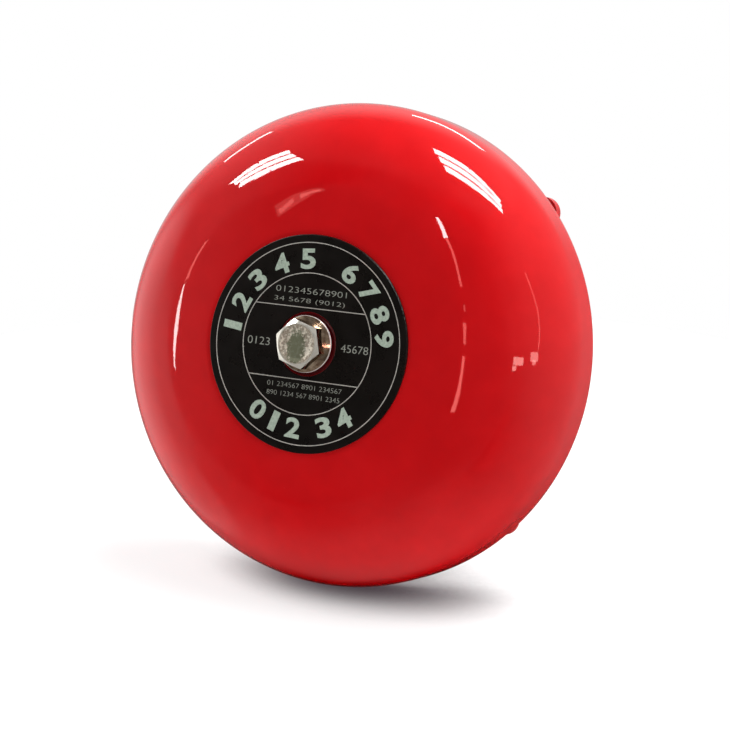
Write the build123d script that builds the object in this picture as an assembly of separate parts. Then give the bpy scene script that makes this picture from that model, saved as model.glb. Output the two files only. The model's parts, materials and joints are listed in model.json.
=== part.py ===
from build123d import *
import math
import os

# Fire alarm bell with a motor driven striker, for a wall. Lengths are millimetres.
# Every piece is drawn on the axes (x, up, out), where out is the distance from the wall,
# and is then turned so that out runs along -Y and up along +Z.

# Clearances
press_gap = 0.02
running_gap = 0.05
screw_gap = 0.1
loose_gap = 0.35

# Screws: thread radius, head radius, head height
small_screw = (1.0, 1.9, 1.1)
board_screw = (1.25, 2.3, 1.4)
plate_screw = (1.5, 2.8, 1.8)
earth_screw_size = (2.0, 3.6, 2.4)

# Gong, with its rim facing the wall
gong_d = 150.0
gong_wall = 2.0
rim_gap = 15.0
rim_band = 10.0
shoulder_r = 30.0
cone_slope = 16.0
plateau_slope = 6.86
crease_inset = 28.0
crease_round = 9.0
rim_round = 0.8

# Dial plate on the gong
dial_r = 32.5
dial_t = 0.8
dial_margin = 1.5
dial_hole_gap = 1.1

# Bolt, post and washers on the bell's axis
bolt_r = 4.0
bolt_length = 25.0
flange_r = 8.5
flange_edge = 0.8
flange_round = 0.35
flange_cone = 1.9
hex_flats = 13.0
head_height = 6.4
hex_turn = -15.0
head_dish_inset = 1.3
head_dish_depth = 0.2
head_dish_slope = 0.8
grade_mark_width = 1.0
grade_mark_start = 1.8
flange_washer_lip = 1.35
flange_washer_t = 1.0
post_r = 7.0
post_bore_spare = 3.0
post_flat_height = 8.0
seat_washer_lip = 2.5
seat_washer_t = 2.0
lock_washer_lip = 0.6
lock_washer_t = 1.0
lock_teeth = 12

# Cast base
mouth_gap = 15.0
base_depth = 16.0
base_wall = 3.0
base_floor = 3.0
ear_standoff = 8.236
ear_r = 5.0
ear_t = 4.0
ear_hole_r = 2.4
centre_boss_r = 9.0
plate_boss_r = 4.5
thread_floor = 4.0
stud_floor = 2.0
rear_pocket_depth = 1.0
rear_land_r = 15.0
rear_rib_width = 3.0
rear_ribs = 8
gasket_width = 3.0
gasket_depth = 1.5
gasket_inset = 3.5
gasket_land = 2.5
earth_x = -31.0
earth_up = -22.0
earth_boss_r = 4.5
earth_boss_height = 5.0
earth_washer_t = 0.8

# Cable entry
cable_drop = 30.0
cable_hole_r = 8.0
cable_land = 4.0
grommet_lip = 2.0
grommet_lip_t = 1.5
grommet_bore_r = 3.5
grommet_nose = 4.0
grommet_nose_wall = 1.2

# Chassis plate
plate_t = 2.0
plate_inset = 1.0

# Motor, its bracket and the cam
post_gap = 1.4
motor_near_room = 5.0
motor_r = 12.0
motor_length = 18.0
motor_wall = 1.0
motor_cap_t = 2.0
motor_bearing_r = 4.0
motor_bearing_t = 1.5
motor_screw_pitch = 16.0
magnet_t = 1.8
magnet_inset = 2.0
air_gap = 0.8
commutator_r = 3.0
commutator_length = 2.5
brush_room = 2.5
shaft_r = 1.0
tab_x = 6.0
tab_rise_from_axis = 8.0
tab_t = 0.6
tab_width = 2.0
tab_height = 1.8
bracket_t = 1.5
bracket_side = 8.0
bracket_end = 0.6
bracket_foot = 8.5
bracket_foot_width = 12.0
cam_r = 6.0
cam_throw = 3.0
cam_t = 5.0
cam_lift = 1.5
cam_head_room = 2.0

# Striker, its guide and its spring
follower_gap = 0.3
follower_t = 2.5
rod_r = 2.5
hammer_r = 4.5
hammer_length = 9.5
hammer_round = 3.2
socket_depth = 2.0
strike_gap = 3.0
spring_wire_r = 0.3
spring_turns = 4.0
guide_side = 6.0
guide_roof = 1.5
guide_length = 6.1

# Cover over the mechanism
cover_wall = 1.8
cover_inset = 1.0
cover_side_room = 4.2
cover_head_room = 0.4
cover_round = 2.5
cover_corner = 4.0
dome_side_room = 5.0
dome_far_room = 3.5
dome_corner = 8.0
cover_tab_r = 5.0
cover_tab_t = 2.5
tab_screw_gap = 3.4
striker_slot_gap = 1.5

# Circuit board and what is on it
board_boss_gap = 2.7
board_low = 14.0
board_wall_gap = 4.5
board_t = 1.6
standoff_r = 2.6
standoff_height = 4.0
board_screw_inset = 4.0
terminal_ways = 4
terminal_pitch = 6.0
terminal_width = 9.0
terminal_room = 0.8
terminal_screw_sink = 0.8
terminal_screw_length = 2.2
terminal_entry_depth = 4.0
terminal_entry_rise = 2.2
terminal_chamfer = 0.8
terminal_inset = 8.0
terminal_screw_r = 1.7
terminal_entry_r = 1.4
capacitor_room = 1.1
capacitor_length = 11.5
part_gap = 1.0
diode_r = 1.35
diode_length = 5.2
diode_lead_r = 0.4
diode_lead_span = 10.0
diode_pitch = 3.6
lead_r = 0.6
lead_hole_r = 2.0
lead_wall_gap = 1.4
lead_side_gap = 4.2
lead_pad_x = 14.5
lead_bend_r = 2.2

# Worked out from the sizes above: distances from the wall
gong_r = gong_d / 2
crease_r = gong_r - crease_inset
seat_r = dial_r + dial_margin
cone_turn = math.radians(90 - cone_slope)
cone_r = gong_r - shoulder_r + shoulder_r * math.cos(cone_turn)
cone_h = rim_band + shoulder_r * math.sin(cone_turn)
crease_h = cone_h + (cone_r - crease_r) * math.tan(math.radians(cone_slope))
gong_height = crease_h + (crease_r - seat_r) * math.tan(math.radians(plateau_slope))
seat_out = rim_gap + gong_height
gong_inside_out = seat_out - gong_wall
post_top = gong_inside_out - seat_washer_t
plate_top = base_depth + plate_t
bolt_seat = seat_out + flange_washer_t
bolt_end = bolt_seat - bolt_length
cam_low = plate_top + cam_lift
strike_out = cam_low + cam_t / 2
bracket_out = cam_low + cam_t + cam_head_room
motor_out = bracket_out + bracket_t
motor_end = motor_out + motor_length
cap_end = motor_end + motor_cap_t
guide_top = strike_out + rod_r + guide_roof
board_out = base_floor + standoff_height
board_face = board_out + board_t
skirt_out = max(guide_top + board_screw[2], motor_out) + cover_head_room + cover_wall
dome_out = cap_end + tab_height + cover_head_room + cover_wall

# Worked out: radii and places
base_r = gong_r - mouth_gap
dial_hole_r = flange_r + dial_hole_gap
plate_r = base_r - plate_inset
base_inner_r = base_r - base_wall
gasket_r = base_r - gasket_inset
rear_rim_r = gasket_r - gasket_width - gasket_land
cover_reach = plate_r - cover_inset
cover_inner_r = cover_reach - cover_wall
bracket_half = motor_r + bracket_side
bracket_top = motor_r + bracket_end
foot_x = bracket_half - bracket_foot / 2
cover_half = bracket_half + cover_side_room + cover_wall
cover_tab_x = cover_half + cover_tab_r
dome_half = motor_r + dome_side_room
dome_near = post_r + lock_washer_lip + post_gap
motor_drop = dome_near + motor_near_room + motor_r
dome_far = motor_drop + motor_r + dome_far_room
follower_r = strike_out - plate_top - follower_gap
follower_at = motor_drop + cam_r + cam_throw + follower_gap
spring_at = follower_at + follower_t
guide_half = rod_r + guide_side
guide_end = math.sqrt(cover_inner_r ** 2 - guide_half ** 2) - loose_gap
guide_at = guide_end - guide_length
spring_length = guide_at - spring_at
guide_middle = (guide_at + guide_end) / 2
guide_screw_x = rod_r + guide_side * 0.58
hammer_tip = gong_r - gong_wall - strike_gap
hammer_at = hammer_tip - hammer_length
armature_r = motor_r - motor_wall - magnet_t - air_gap
armature_low = motor_out + motor_wall + magnet_inset + air_gap
armature_high = motor_end - brush_room - commutator_length
boss_reach = (base_inner_r - plate_boss_r + loose_gap) * math.sqrt(0.5)
board_half = boss_reach - plate_boss_r - board_boss_gap
board_high = math.sqrt(base_inner_r ** 2 - board_half ** 2) - board_wall_gap
cover_tab_drop = boss_reach - plate_screw[1] - cover_tab_r - tab_screw_gap
terminal_up = board_low + terminal_inset
terminal_length = terminal_ways * terminal_pitch
terminal_height = base_depth - board_face - terminal_room
capacitor_r = (base_depth - board_face - capacitor_room) / 2
screw_side = board_half - board_screw_inset - board_screw[1] - part_gap
capacitor_x = capacitor_r - screw_side
diode_xs = (screw_side - diode_r - diode_pitch, screw_side - diode_r)
parts_low = terminal_up + terminal_width / 2 + part_gap
lead_x = dome_half - cover_wall - lead_side_gap
lead_drop = dome_near + cover_wall + lead_wall_gap
tab_drop = motor_drop - tab_rise_from_axis
ear_reach = (base_r + ear_standoff) * math.sqrt(0.5)
corners = [(-1, -1), (-1, 1), (1, -1), (1, 1)]
ear_places = [(across * ear_reach, rise * ear_reach) for across, rise in corners]
boss_places = [(across * boss_reach, rise * boss_reach) for across, rise in corners]
standoff_places = [(across * (board_half - board_screw_inset), up)
                   for across in (-1, 1)
                   for up in (board_low + board_screw_inset, board_high - board_screw_inset)]
on_base = (Align.CENTER, Align.CENTER, Align.MIN)
on_top = (Align.CENTER, Align.CENTER, Align.MAX)
wall_frame = Plane.XZ.location


def disc(radius, low, high, x=0.0, up=0.0):
    return Pos(x, up, low) * Cylinder(radius, high - low, align=on_base)


def ring(outer, inner, low, high, x=0.0, up=0.0):
    return disc(outer, low, high, x, up) - disc(inner, low, high, x, up)


def taper(low_r, high_r, low, high, x=0.0, up=0.0):
    return Pos(x, up, low) * Cone(low_r, high_r, high - low, align=on_base)


def bar(x_span, up_span, out_span):
    low = (min(x_span), min(up_span), min(out_span))
    size = (abs(x_span[1] - x_span[0]), abs(up_span[1] - up_span[0]), abs(out_span[1] - out_span[0]))
    return Pos(*low) * Box(*size, align=(Align.MIN, Align.MIN, Align.MIN))


def rod_down(radius, near, far, out, x=0.0):
    # a round bar along the striker's line, from one distance below the bell's axis to another
    return Pos(x, -far, out) * Rot(X=-90) * Cylinder(radius, far - near, align=on_base)


def top_edges(solid):
    return solid.edges().group_by(Axis.Z)[-1]


def bottom_edges(solid):
    return solid.edges().group_by(Axis.Z)[0]


def screw(size, x, up, out, length):
    # a pan head screw whose head rests at out, with a slot across the head
    thread, head, height = size
    body = disc(head, out, out + height, x, up)
    body = fillet(top_edges(body), height * 0.45)
    body += disc(thread, out - length, out, x, up)
    slot_half = head * 0.13
    slot = bar((x - head, x + head), (up - slot_half, up + slot_half), (out + height * 0.55, out + height))
    return body - slot


def save(name, *solids):
    # one solid is written by itself, several as a group
    whole = solids[0] if len(solids) == 1 else Compound(children=list(solids))
    export_step(whole.moved(wall_frame), f"parts/{name}.step")


# Gong

def gong_corner(r, h, slope_a, slope_b, inset):
    # a corner of the gong's outline, moved in by the wall square to both of its faces
    middle = math.radians((slope_a + slope_b) / 2)
    step = inset / math.cos(math.radians((slope_a - slope_b) / 2))
    return (r - step * math.sin(middle), h - step * math.cos(middle))


def gong_form(inset):
    # the dome as a full solid: rim band, shoulder arc, short cone, crease, plateau, flat seat
    centre_r = gong_r - shoulder_r
    crease = gong_corner(crease_r, crease_h, cone_slope, plateau_slope, inset)
    seat = gong_corner(seat_r, gong_height, plateau_slope, 0.0, inset)
    arc_r = shoulder_r - inset
    start = (gong_r - inset, rim_band)
    middle = (centre_r + arc_r * math.cos(cone_turn / 2), rim_band + arc_r * math.sin(cone_turn / 2))
    end = (centre_r + arc_r * math.cos(cone_turn), rim_band + arc_r * math.sin(cone_turn))
    top = (0, gong_height - inset)
    edges = Polyline(top, (0, 0), (gong_r - inset, 0), start)
    edges += ThreePointArc(start, middle, end)
    edges += Polyline(end, crease, seat, top)
    face = make_face(edges).face()
    bends = [v for v in face.vertices()
             if min(math.dist((v.X, v.Y), crease), math.dist((v.X, v.Y), seat)) < 0.01]
    face = face.fillet_2d(crease_round - inset, bends)
    return Pos(0, 0, rim_gap) * revolve(Plane.XZ * face, Axis.Z)


def gong():
    shell = gong_form(0.0) - gong_form(gong_wall)
    rim = [e for e in shell.edges().filter_by(GeomType.CIRCLE) if abs(e.center().Z - rim_gap) < 0.01]
    shell = fillet(rim, rim_round)
    return shell - disc(bolt_r + loose_gap, rim_gap, seat_out)


def dial_plate():
    plate = ring(dial_r, dial_hole_r, seat_out, seat_out + dial_t)
    return fillet(top_edges(plate), dial_t * 0.4)


# Bolt, post and washers

def bolt_flange():
    edge_top = bolt_seat + flange_edge
    flange = disc(flange_r, bolt_seat, edge_top)
    flange += taper(flange_r, hex_flats / 2, edge_top, edge_top + flange_cone)
    outside = [e for e in flange.edges().filter_by(GeomType.CIRCLE) if abs(e.radius - flange_r) < 0.01]
    return fillet(outside, flange_round)


def bolt_hexagon():
    # the hexagon's corners are turned off by a cone at the top
    low = bolt_seat + flange_edge
    high = bolt_seat + head_height
    crown = head_height / 2
    hexagon = extrude(RegularPolygon(hex_flats / 2, 6, major_radius=False), high - low)
    round_off = taper(hex_flats / 2 + crown * 1.9, hex_flats / 2 - 0.5, high - crown, high)
    round_off += disc(hex_flats, low, high - crown)
    return (Pos(0, 0, low) * Rot(Z=hex_turn) * hexagon) & round_off


def bolt_marks(dish_r, dish_floor):
    # three plain raised bars in the dish of the head
    marks = []
    half = grade_mark_width / 2
    for turn in (60, 180, 300):
        mark = bar((grade_mark_start, dish_r - head_dish_slope), (-half, half),
                   (dish_floor, dish_floor + head_dish_depth))
        marks.append(Rot(Z=turn) * mark)
    return marks


def gong_bolt():
    head_top = bolt_seat + head_height
    dish_r = hex_flats / 2 - head_dish_inset
    dish_floor = head_top - head_dish_depth
    head = bolt_flange() + bolt_hexagon()
    head -= taper(dish_r - head_dish_slope, dish_r, dish_floor, head_top)
    for mark in bolt_marks(dish_r, dish_floor):
        head += mark
    shank = disc(bolt_r - running_gap, bolt_end, bolt_seat)
    return head + chamfer(bottom_edges(shank), 0.8)


def flange_washer():
    return ring(flange_r - flange_washer_lip, bolt_r + loose_gap, seat_out, bolt_seat)


def seat_washer():
    body = ring(post_r + seat_washer_lip, bolt_r + loose_gap, post_top, gong_inside_out)
    outside = body.edges().filter_by(GeomType.CIRCLE).sort_by(SortBy.LENGTH)[-2:]
    return fillet(outside, seat_washer_t / 4)


def gong_post():
    low = plate_top + lock_washer_t
    post = disc(post_r, low, post_top)
    post = chamfer(top_edges(post), 0.8)
    for side in (-1, 1):
        post -= bar((side * post_r * 0.86, side * post_r), (-post_r, post_r), (low, low + post_flat_height))
    post += disc(bolt_r - running_gap, base_floor + stud_floor, low)
    return post - disc(bolt_r, bolt_end - post_bore_spare, post_top)


def lock_washer():
    washer_r = post_r + lock_washer_lip
    washer = ring(washer_r, bolt_r + loose_gap, plate_top, plate_top + lock_washer_t)
    notch = disc(washer_r * 0.1, plate_top, plate_top + lock_washer_t, washer_r)
    for k in range(lock_teeth):
        washer -= Rot(Z=360 / lock_teeth * k) * notch
    return washer


# Cast base

def base_shell():
    body = disc(base_r, 0, base_depth)
    for x, up in ear_places:
        body += disc(ear_r, 0, ear_t, x, up)
        arm = bar((base_inner_r, math.hypot(x, up)), (-ear_r, ear_r), (0, ear_t))
        body += Rot(Z=math.degrees(math.atan2(up, x))) * arm
    return body - disc(base_inner_r, base_floor, base_depth)


def base_rear_cut():
    # shallow pockets in the rear face, between the ribs, the central land and the cable's land
    cut = ring(rear_rim_r, rear_land_r, 0, rear_pocket_depth)
    for k in range(rear_ribs):
        rib = bar((0, rear_rim_r), (-rear_rib_width / 2, rear_rib_width / 2), (0, rear_pocket_depth))
        cut -= Rot(Z=360 / rear_ribs * k) * rib
    return cut - disc(cable_hole_r + cable_land, 0, rear_pocket_depth, 0, -cable_drop)


def base_bosses():
    bosses = disc(centre_boss_r, base_floor, base_depth)
    bosses += disc(earth_boss_r, base_floor, base_floor + earth_boss_height, earth_x, earth_up)
    for x, up in boss_places:
        bosses += disc(plate_boss_r, base_floor, base_depth, x, up)
    return bosses


def base_casting():
    body = base_shell() + base_bosses() - base_rear_cut()
    body -= ring(gasket_r, gasket_r - gasket_width, 0, gasket_depth)
    body -= disc(cable_hole_r, 0, base_floor, 0, -cable_drop)
    body -= disc(bolt_r, base_floor + stud_floor, base_depth)
    body -= disc(earth_screw_size[0] + press_gap, base_floor, base_floor + earth_boss_height,
                 earth_x, earth_up)
    for x, up in boss_places:
        body -= disc(plate_screw[0] + press_gap, base_floor + thread_floor, base_depth, x, up)
    for x, up in ear_places:
        body -= disc(ear_hole_r, 0, ear_t, x, up)
    return body


def wall_gasket():
    return ring(gasket_r, gasket_r - gasket_width, 0, gasket_depth)


def cable_grommet():
    lip_top = base_floor + grommet_lip_t
    nose_top = lip_top + grommet_nose
    body = disc(cable_hole_r, 0, base_floor, 0, -cable_drop)
    body += disc(cable_hole_r + grommet_lip, base_floor, lip_top, 0, -cable_drop)
    body += taper(grommet_bore_r + 2 * grommet_nose_wall, grommet_bore_r + grommet_nose_wall,
                  lip_top, nose_top, 0, -cable_drop)
    return body - disc(grommet_bore_r, 0, nose_top, 0, -cable_drop)


def earth_washer():
    low = base_floor + earth_boss_height
    thread, head, height = earth_screw_size
    return ring(head + 0.6, thread + screw_gap, low, low + earth_washer_t, earth_x, earth_up)


def earth_screw():
    rest = base_floor + earth_boss_height + earth_washer_t
    return screw(earth_screw_size, earth_x, earth_up, rest, earth_boss_height)


# Chassis plate

def plate_holes():
    # places and radii of the holes through the plate
    holes = [(0, 0, bolt_r + loose_gap)]
    holes += [(x, up, plate_screw[0] + screw_gap) for x, up in boss_places]
    for side in (-1, 1):
        holes.append((side * lead_x, -lead_drop, lead_hole_r))
        holes.append((side * foot_x, -motor_drop, plate_screw[0] + press_gap))
        holes.append((side * guide_screw_x, -guide_middle, board_screw[0] + press_gap))
        holes.append((side * cover_tab_x, -cover_tab_drop, board_screw[0] + press_gap))
    return holes


def chassis_plate():
    plate = disc(plate_r, base_depth, plate_top)
    plate = fillet(plate.edges().filter_by(GeomType.CIRCLE), plate_t * 0.2)
    for x, up, radius in plate_holes():
        plate -= disc(radius, base_depth, plate_top, x, up)
    return plate


def chassis_screws():
    length = plate_top - base_floor - thread_floor - screw_gap
    return [screw(plate_screw, x, up, plate_top, length) for x, up in boss_places]


# Motor

def motor_screw_places():
    return [(side * motor_screw_pitch / 2, -motor_drop) for side in (-1, 1)]


def motor_can():
    can = disc(motor_r, motor_out, motor_end, 0, -motor_drop)
    can = fillet(bottom_edges(can), motor_wall * 0.8)
    can += disc(motor_bearing_r, motor_out - motor_bearing_t, motor_out, 0, -motor_drop)
    can -= disc(motor_r - motor_wall, motor_out + motor_wall, motor_end, 0, -motor_drop)
    can -= disc(shaft_r + running_gap, motor_out - motor_bearing_t, motor_out + motor_wall, 0, -motor_drop)
    for x, up in motor_screw_places():
        can -= disc(small_screw[0] + press_gap, motor_out, motor_out + motor_wall, x, up)
    return can


def motor_magnets():
    outer = motor_r - motor_wall
    low = motor_out + motor_wall + magnet_inset
    high = armature_high + air_gap
    hoop = ring(outer, outer - magnet_t, low, high)
    gap = bar((-outer * 0.35, outer * 0.35), (-outer, outer), (low, high))
    return [Pos(0, -motor_drop, 0) * piece for piece in (hoop - gap).solids()]


def armature():
    core = disc(armature_r, armature_low, armature_high)
    for k in range(3):
        slot = bar((armature_r * 0.45, armature_r), (-0.9, 0.9), (armature_low, armature_high))
        core -= Rot(Z=120 * k + 60) * slot
    core -= disc(shaft_r + press_gap, armature_low, armature_high)
    return Pos(0, -motor_drop, 0) * core


def commutator():
    return ring(commutator_r, shaft_r + press_gap, armature_high, armature_high + commutator_length,
                0, -motor_drop)


def motor_shaft():
    return disc(shaft_r, cam_low, motor_end - running_gap, 0, -motor_drop)


def tab_bar(side, high):
    x = side * tab_x
    return bar((x - tab_width / 2, x + tab_width / 2), (-tab_drop - tab_t / 2, -tab_drop + tab_t / 2),
               (motor_end, high))


def motor_end_cap():
    cap = disc(motor_r, motor_end, cap_end, 0, -motor_drop)
    cap = fillet(top_edges(cap), motor_cap_t * 0.3)
    for side in (-1, 1):
        cap -= tab_bar(side, cap_end)
    return cap


def motor_terminals():
    return [tab_bar(side, cap_end + tab_height) for side in (-1, 1)]


def motor_bracket():
    deck = bar((-bracket_half, bracket_half), (-motor_drop - bracket_top, -motor_drop + bracket_top),
               (bracket_out, motor_out))
    deck -= disc(motor_bearing_r + screw_gap, bracket_out, motor_out, 0, -motor_drop)
    for x, up in motor_screw_places():
        deck -= disc(small_screw[0] + screw_gap, bracket_out, motor_out, x, up)
    foot_span = (-motor_drop - bracket_foot_width / 2, -motor_drop + bracket_foot_width / 2)
    foot_top = plate_top + bracket_t
    for side in (-1, 1):
        outside = side * bracket_half
        deck += bar((outside - side * bracket_t, outside), foot_span, (plate_top, bracket_out))
        deck += bar((outside - side * bracket_foot, outside), foot_span, (plate_top, foot_top))
        deck -= disc(plate_screw[0] + screw_gap, plate_top, foot_top, side * foot_x, -motor_drop)
    return deck


def bracket_screws():
    return [screw(plate_screw, side * foot_x, -motor_drop, plate_top + bracket_t, plate_t + bracket_t)
            for side in (-1, 1)]


def motor_screws():
    # these point away from the wall, with their heads on the wall side of the bracket
    piece = screw(small_screw, 0, 0, 0, bracket_t + motor_wall)
    return [Pos(x, up, bracket_out) * Rot(X=180) * piece for x, up in motor_screw_places()]


def eccentric_cam():
    # its high side rests towards the striker
    cam_high = cam_low + cam_t
    cam = disc(cam_r, cam_low, cam_high, 0, -motor_drop - cam_throw)
    cam = chamfer(cam.edges().filter_by(GeomType.CIRCLE), 0.4)
    cam -= disc(shaft_r + press_gap, cam_low, cam_high, 0, -motor_drop)
    return cam - rod_down(shaft_r, motor_drop + cam_throw - cam_r, motor_drop, strike_out)


def cam_screw():
    near = motor_drop + cam_throw - cam_r
    grub = rod_down(shaft_r - press_gap, near + 0.2, motor_drop - shaft_r - press_gap, strike_out)
    slot = bar((-shaft_r, shaft_r), (-near, -near - 0.8), (strike_out - 0.15, strike_out + 0.15))
    return grub - slot


# Striker

def follower():
    cap = rod_down(follower_r, follower_at, spring_at, strike_out)
    cap = chamfer(cap.edges().filter_by(GeomType.CIRCLE), 0.3)
    return cap - rod_down(rod_r + press_gap, spring_at - socket_depth, spring_at, strike_out)


def striker_rod():
    return rod_down(rod_r, spring_at - socket_depth, hammer_at + socket_depth, strike_out)


def hammer_head():
    head = rod_down(hammer_r, hammer_at, hammer_tip, strike_out)
    head = fillet(head.edges().group_by(Axis.Y)[0], hammer_round)
    head = chamfer(head.edges().group_by(Axis.Y)[-1], 0.5)
    return head - rod_down(rod_r + press_gap, hammer_at, hammer_at + socket_depth, strike_out)


def striker_guide():
    block = bar((-guide_half, guide_half), (-guide_end, -guide_at), (plate_top, guide_top))
    block = fillet(block.edges().filter_by(Axis.Z), 1.0)
    block -= rod_down(rod_r + running_gap, guide_at, guide_end, strike_out)
    for side in (-1, 1):
        block -= disc(board_screw[0] + screw_gap, plate_top, guide_top, side * guide_screw_x, -guide_middle)
    return block


def guide_screws():
    return [screw(board_screw, side * guide_screw_x, -guide_middle, guide_top, guide_top - base_depth)
            for side in (-1, 1)]


def return_spring():
    height = spring_length - 2 * (spring_wire_r + screw_gap)
    coil_r = rod_r + spring_wire_r + loose_gap
    coil = Helix(pitch=height / spring_turns, height=height, radius=coil_r)
    section = Plane(origin=coil @ 0, z_dir=coil % 0) * Circle(spring_wire_r)
    wire = sweep(section, path=coil, is_frenet=True)
    return Pos(0, -(guide_at - spring_wire_r - screw_gap), strike_out) * Rot(X=-90) * wire


# Cover

def rounded_block(half, near, far, corner, low, high):
    plan = RectangleRounded(2 * half, far - near, corner)
    return Pos(0, -(near + far) / 2, low) * extrude(plan, high - low)


def cover_form(inset):
    # the skirt, trimmed round inside the plate, and the dome over the motor
    half = cover_half - inset
    reach = cover_reach - inset
    near = dome_near + inset
    skirt = rounded_block(half, near, reach, cover_corner - inset, plate_top, skirt_out - inset)
    skirt &= disc(reach, plate_top, skirt_out - inset)
    dome = rounded_block(dome_half - inset, near, dome_far - inset, dome_corner - inset,
                         plate_top, dome_out - inset)
    if inset == 0:
        skirt = fillet(top_edges(skirt), cover_round)
        dome = fillet(top_edges(dome), cover_round)
    return skirt + dome


def cover_tab(side):
    top = plate_top + cover_tab_t
    x = side * cover_tab_x
    tab = disc(cover_tab_r, plate_top, top, x, -cover_tab_drop)
    tab += bar((side * (cover_half - cover_wall), x),
               (-cover_tab_drop - cover_tab_r, -cover_tab_drop + cover_tab_r), (plate_top, top))
    return tab - disc(board_screw[0] + screw_gap, plate_top, top, x, -cover_tab_drop)


def mechanism_cover():
    body = cover_form(0.0) + cover_tab(-1) + cover_tab(1) - cover_form(cover_wall)
    slot_half = rod_r + striker_slot_gap
    return body - bar((-slot_half, slot_half), (-cover_reach, -guide_end),
                      (plate_top, strike_out + slot_half))


def cover_screws():
    return [screw(board_screw, side * cover_tab_x, -cover_tab_drop, plate_top + cover_tab_t,
                  cover_tab_t + plate_t) for side in (-1, 1)]


# Circuit board

def circuit_board():
    board = bar((-board_half, board_half), (board_low, board_high), (board_out, board_face))
    board = fillet(board.edges().filter_by(Axis.Z), 2.0)
    for x, up in standoff_places:
        board -= disc(board_screw[0] + screw_gap, board_out, board_face, x, up)
    return board


def board_standoffs():
    return [ring(standoff_r, board_screw[0] + press_gap, base_floor, board_out, x, up)
            for x, up in standoff_places]


def board_screws():
    return [screw(board_screw, x, up, board_face, board_t + standoff_height - screw_gap)
            for x, up in standoff_places]


def terminal_places():
    return [(k - (terminal_ways - 1) / 2) * terminal_pitch for k in range(terminal_ways)]


def terminal_block():
    top = board_face + terminal_height
    low_up = terminal_up - terminal_width / 2
    block = bar((-terminal_length / 2, terminal_length / 2), (low_up, low_up + terminal_width),
                (board_face, top))
    block = chamfer(top_edges(block).filter_by(Axis.X), terminal_chamfer)
    well = terminal_screw_sink + terminal_screw_length
    for x in terminal_places():
        block -= disc(terminal_screw_r + screw_gap, top - well, top, x, terminal_up)
        block -= rod_down(terminal_entry_r, -low_up - terminal_entry_depth, -low_up,
                          board_face + terminal_entry_rise, x)
    return block


def terminal_screws():
    made = []
    top = board_face + terminal_height - terminal_screw_sink
    slot_half = terminal_screw_r * 0.15
    for x in terminal_places():
        piece = disc(terminal_screw_r, top - terminal_screw_length, top, x, terminal_up)
        slot = bar((x - terminal_screw_r, x + terminal_screw_r),
                   (terminal_up - slot_half, terminal_up + slot_half),
                   (top - terminal_screw_length * 0.3, top))
        made.append(piece - slot)
    return made


def capacitor():
    can = Pos(capacitor_x, parts_low, board_face + capacitor_r) * Rot(X=-90)
    can = can * Cylinder(capacitor_r, capacitor_length, align=on_base)
    return fillet(can.edges().filter_by(GeomType.CIRCLE), capacitor_r * 0.15)


def diodes():
    made = []
    half = diode_lead_span / 2
    middle = parts_low + half + diode_lead_r
    out = board_face + diode_r + screw_gap
    for x in diode_xs:
        body = Pos(x, middle, out) * Rot(X=90) * Cylinder(diode_r, diode_length)
        body += Pos(x, middle, out) * Rot(X=90) * Cylinder(diode_lead_r, diode_lead_span)
        for up in (middle - half, middle + half):
            body += disc(diode_lead_r, board_face, out, x, up)
            body += Pos(x, up, out) * Sphere(diode_lead_r)
        made.append(body)
    return made


def motor_lead(side):
    # from a pad on the board, under the chassis plate, through its hole, beside the motor to its tab
    pad_up = board_low + board_screw_inset
    under_plate = (board_face + base_depth) / 2
    tab_out = cap_end + tab_height / 2
    points = [(side * lead_pad_x, pad_up, board_face),
              (side * lead_pad_x, pad_up, under_plate),
              (side * lead_x, -lead_drop, under_plate),
              (side * lead_x, -lead_drop, tab_out),
              (side * tab_x, -lead_drop, tab_out),
              (side * tab_x, -tab_drop + tab_t / 2, tab_out)]
    path = FilletPolyline(*points, radius=lead_bend_r)
    section = Plane(origin=path @ 0, z_dir=path % 0) * Circle(lead_r)
    return sweep(section, path=path)


os.makedirs("parts", exist_ok=True)
save("gong", gong())
save("dial_plate", dial_plate())
save("gong_bolt", gong_bolt())
save("flange_washer", flange_washer())
save("seat_washer", seat_washer())
save("gong_post", gong_post())
save("lock_washer", lock_washer())
save("base_casting", base_casting())
save("wall_gasket", wall_gasket())
save("cable_grommet", cable_grommet())
save("earth_washer", earth_washer())
save("earth_screw", earth_screw())
save("chassis_plate", chassis_plate())
save("chassis_screws", *chassis_screws())
save("motor_can", motor_can())
save("motor_magnets", *motor_magnets())
save("armature", armature())
save("commutator", commutator())
save("motor_shaft", motor_shaft())
save("motor_end_cap", motor_end_cap())
save("motor_terminals", *motor_terminals())
save("motor_bracket", motor_bracket())
save("bracket_screws", *bracket_screws())
save("motor_screws", *motor_screws())
save("eccentric_cam", eccentric_cam())
save("cam_screw", cam_screw())
save("follower", follower())
save("striker_rod", striker_rod())
save("hammer_head", hammer_head())
save("striker_guide", striker_guide())
save("guide_screws", *guide_screws())
save("return_spring", return_spring())
save("mechanism_cover", mechanism_cover())
save("cover_screws", *cover_screws())
save("circuit_board", circuit_board())
save("board_standoffs", *board_standoffs())
save("board_screws", *board_screws())
save("terminal_block", terminal_block())
save("terminal_screws", *terminal_screws())
save("capacitor", capacitor())
save("diodes", *diodes())
save("motor_lead_plus", motor_lead(1))
save("motor_lead_minus", motor_lead(-1))
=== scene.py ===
import bpy, bmesh, json, math
from mathutils import Matrix, Vector


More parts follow.
